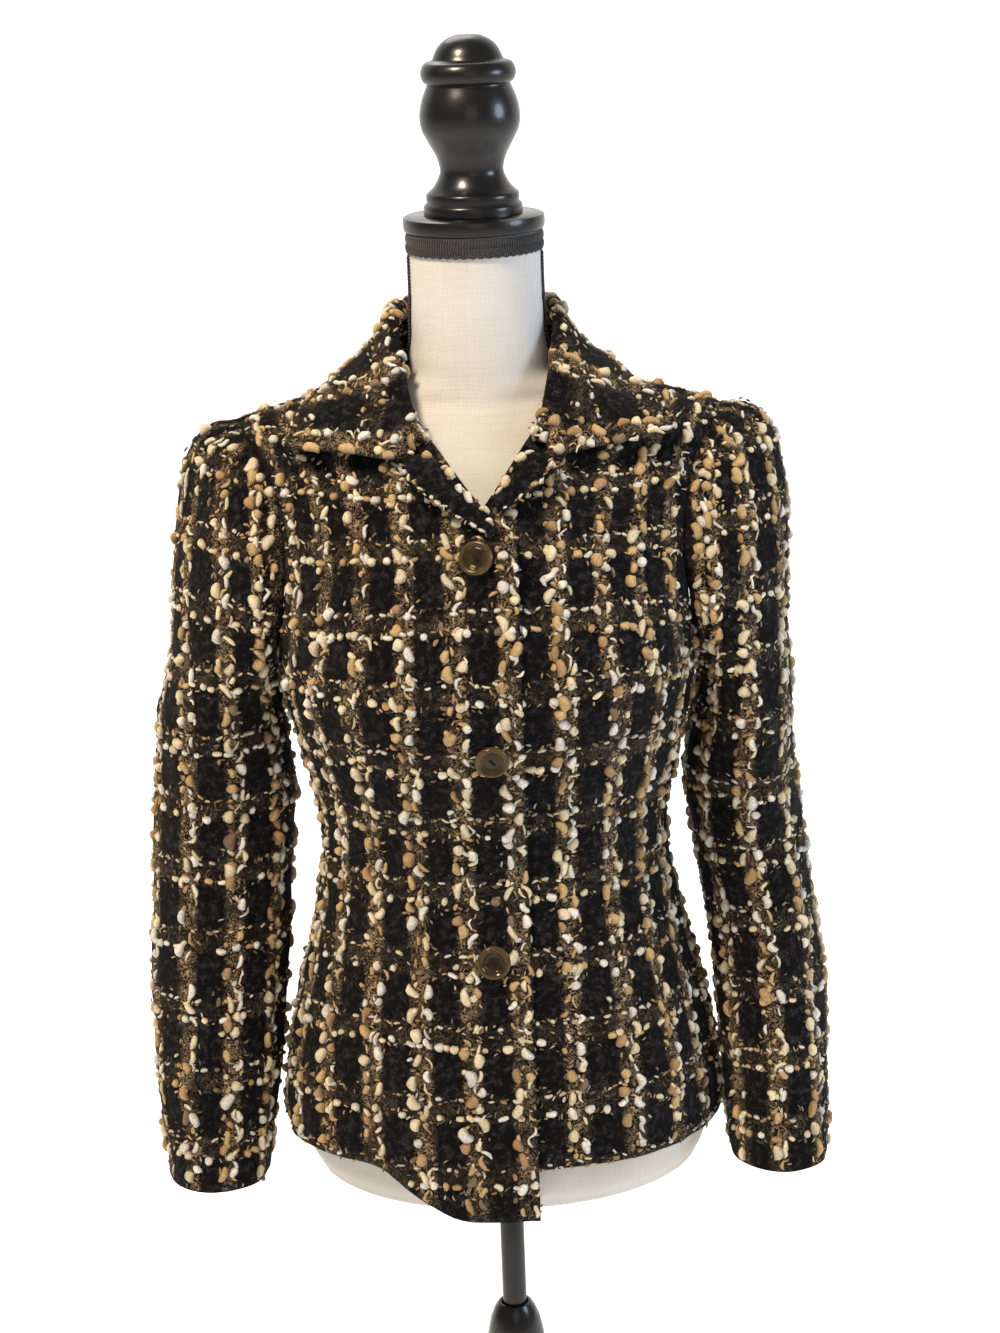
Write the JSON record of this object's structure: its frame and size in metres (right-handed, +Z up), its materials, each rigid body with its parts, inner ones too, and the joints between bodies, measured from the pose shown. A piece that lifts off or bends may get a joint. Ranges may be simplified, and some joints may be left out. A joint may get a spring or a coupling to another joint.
{
  "type": "tweed blazer on a dress form with a stand",
  "caption": "Boucle tweed blazer with notched collar, set-in sleeves and horn-look buttons, shown on a limbless linen dress form with turned finial, pole and round base.",
  "frame": {"origin": "centre of the base's underside, on the floor under the pole", "axes": "+Z up along the pole, -Y is the way the blazer's front faces, +X is the wearer's left"},
  "size_m": [0.4892, 0.3176, 1.1178],
  "materials": {
    "tweed": "black boucle ground with cream, white, gold and tan slub check",
    "horn_button": "polished brown-olive horn look",
    "linen_cover": "plain natural linen stretched over the form",
    "black_braid": "black woven braid",
    "black_lacquer": "satin black lacquer on turned wood"
  },
  "bodies": {
    "root": {"front_right": "tweed", "front_left": "tweed", "back": "tweed", "sleeve_right": "tweed", "sleeve_left": "tweed", "collar": "tweed", "lapel_right": "tweed", "lapel_left": "tweed", "button_1": "horn_button", "button_2": "horn_button", "button_3": "horn_button", "form_torso": "linen_cover", "form_neck_braid": "black_braid", "form_side_braid_right": "black_braid", "form_side_braid_left": "black_braid", "neck_cap": "black_lacquer", "finial": "black_lacquer", "pole": "black_lacquer", "hub": "black_lacquer", "base": "black_lacquer"}
  },
  "joints": []
}
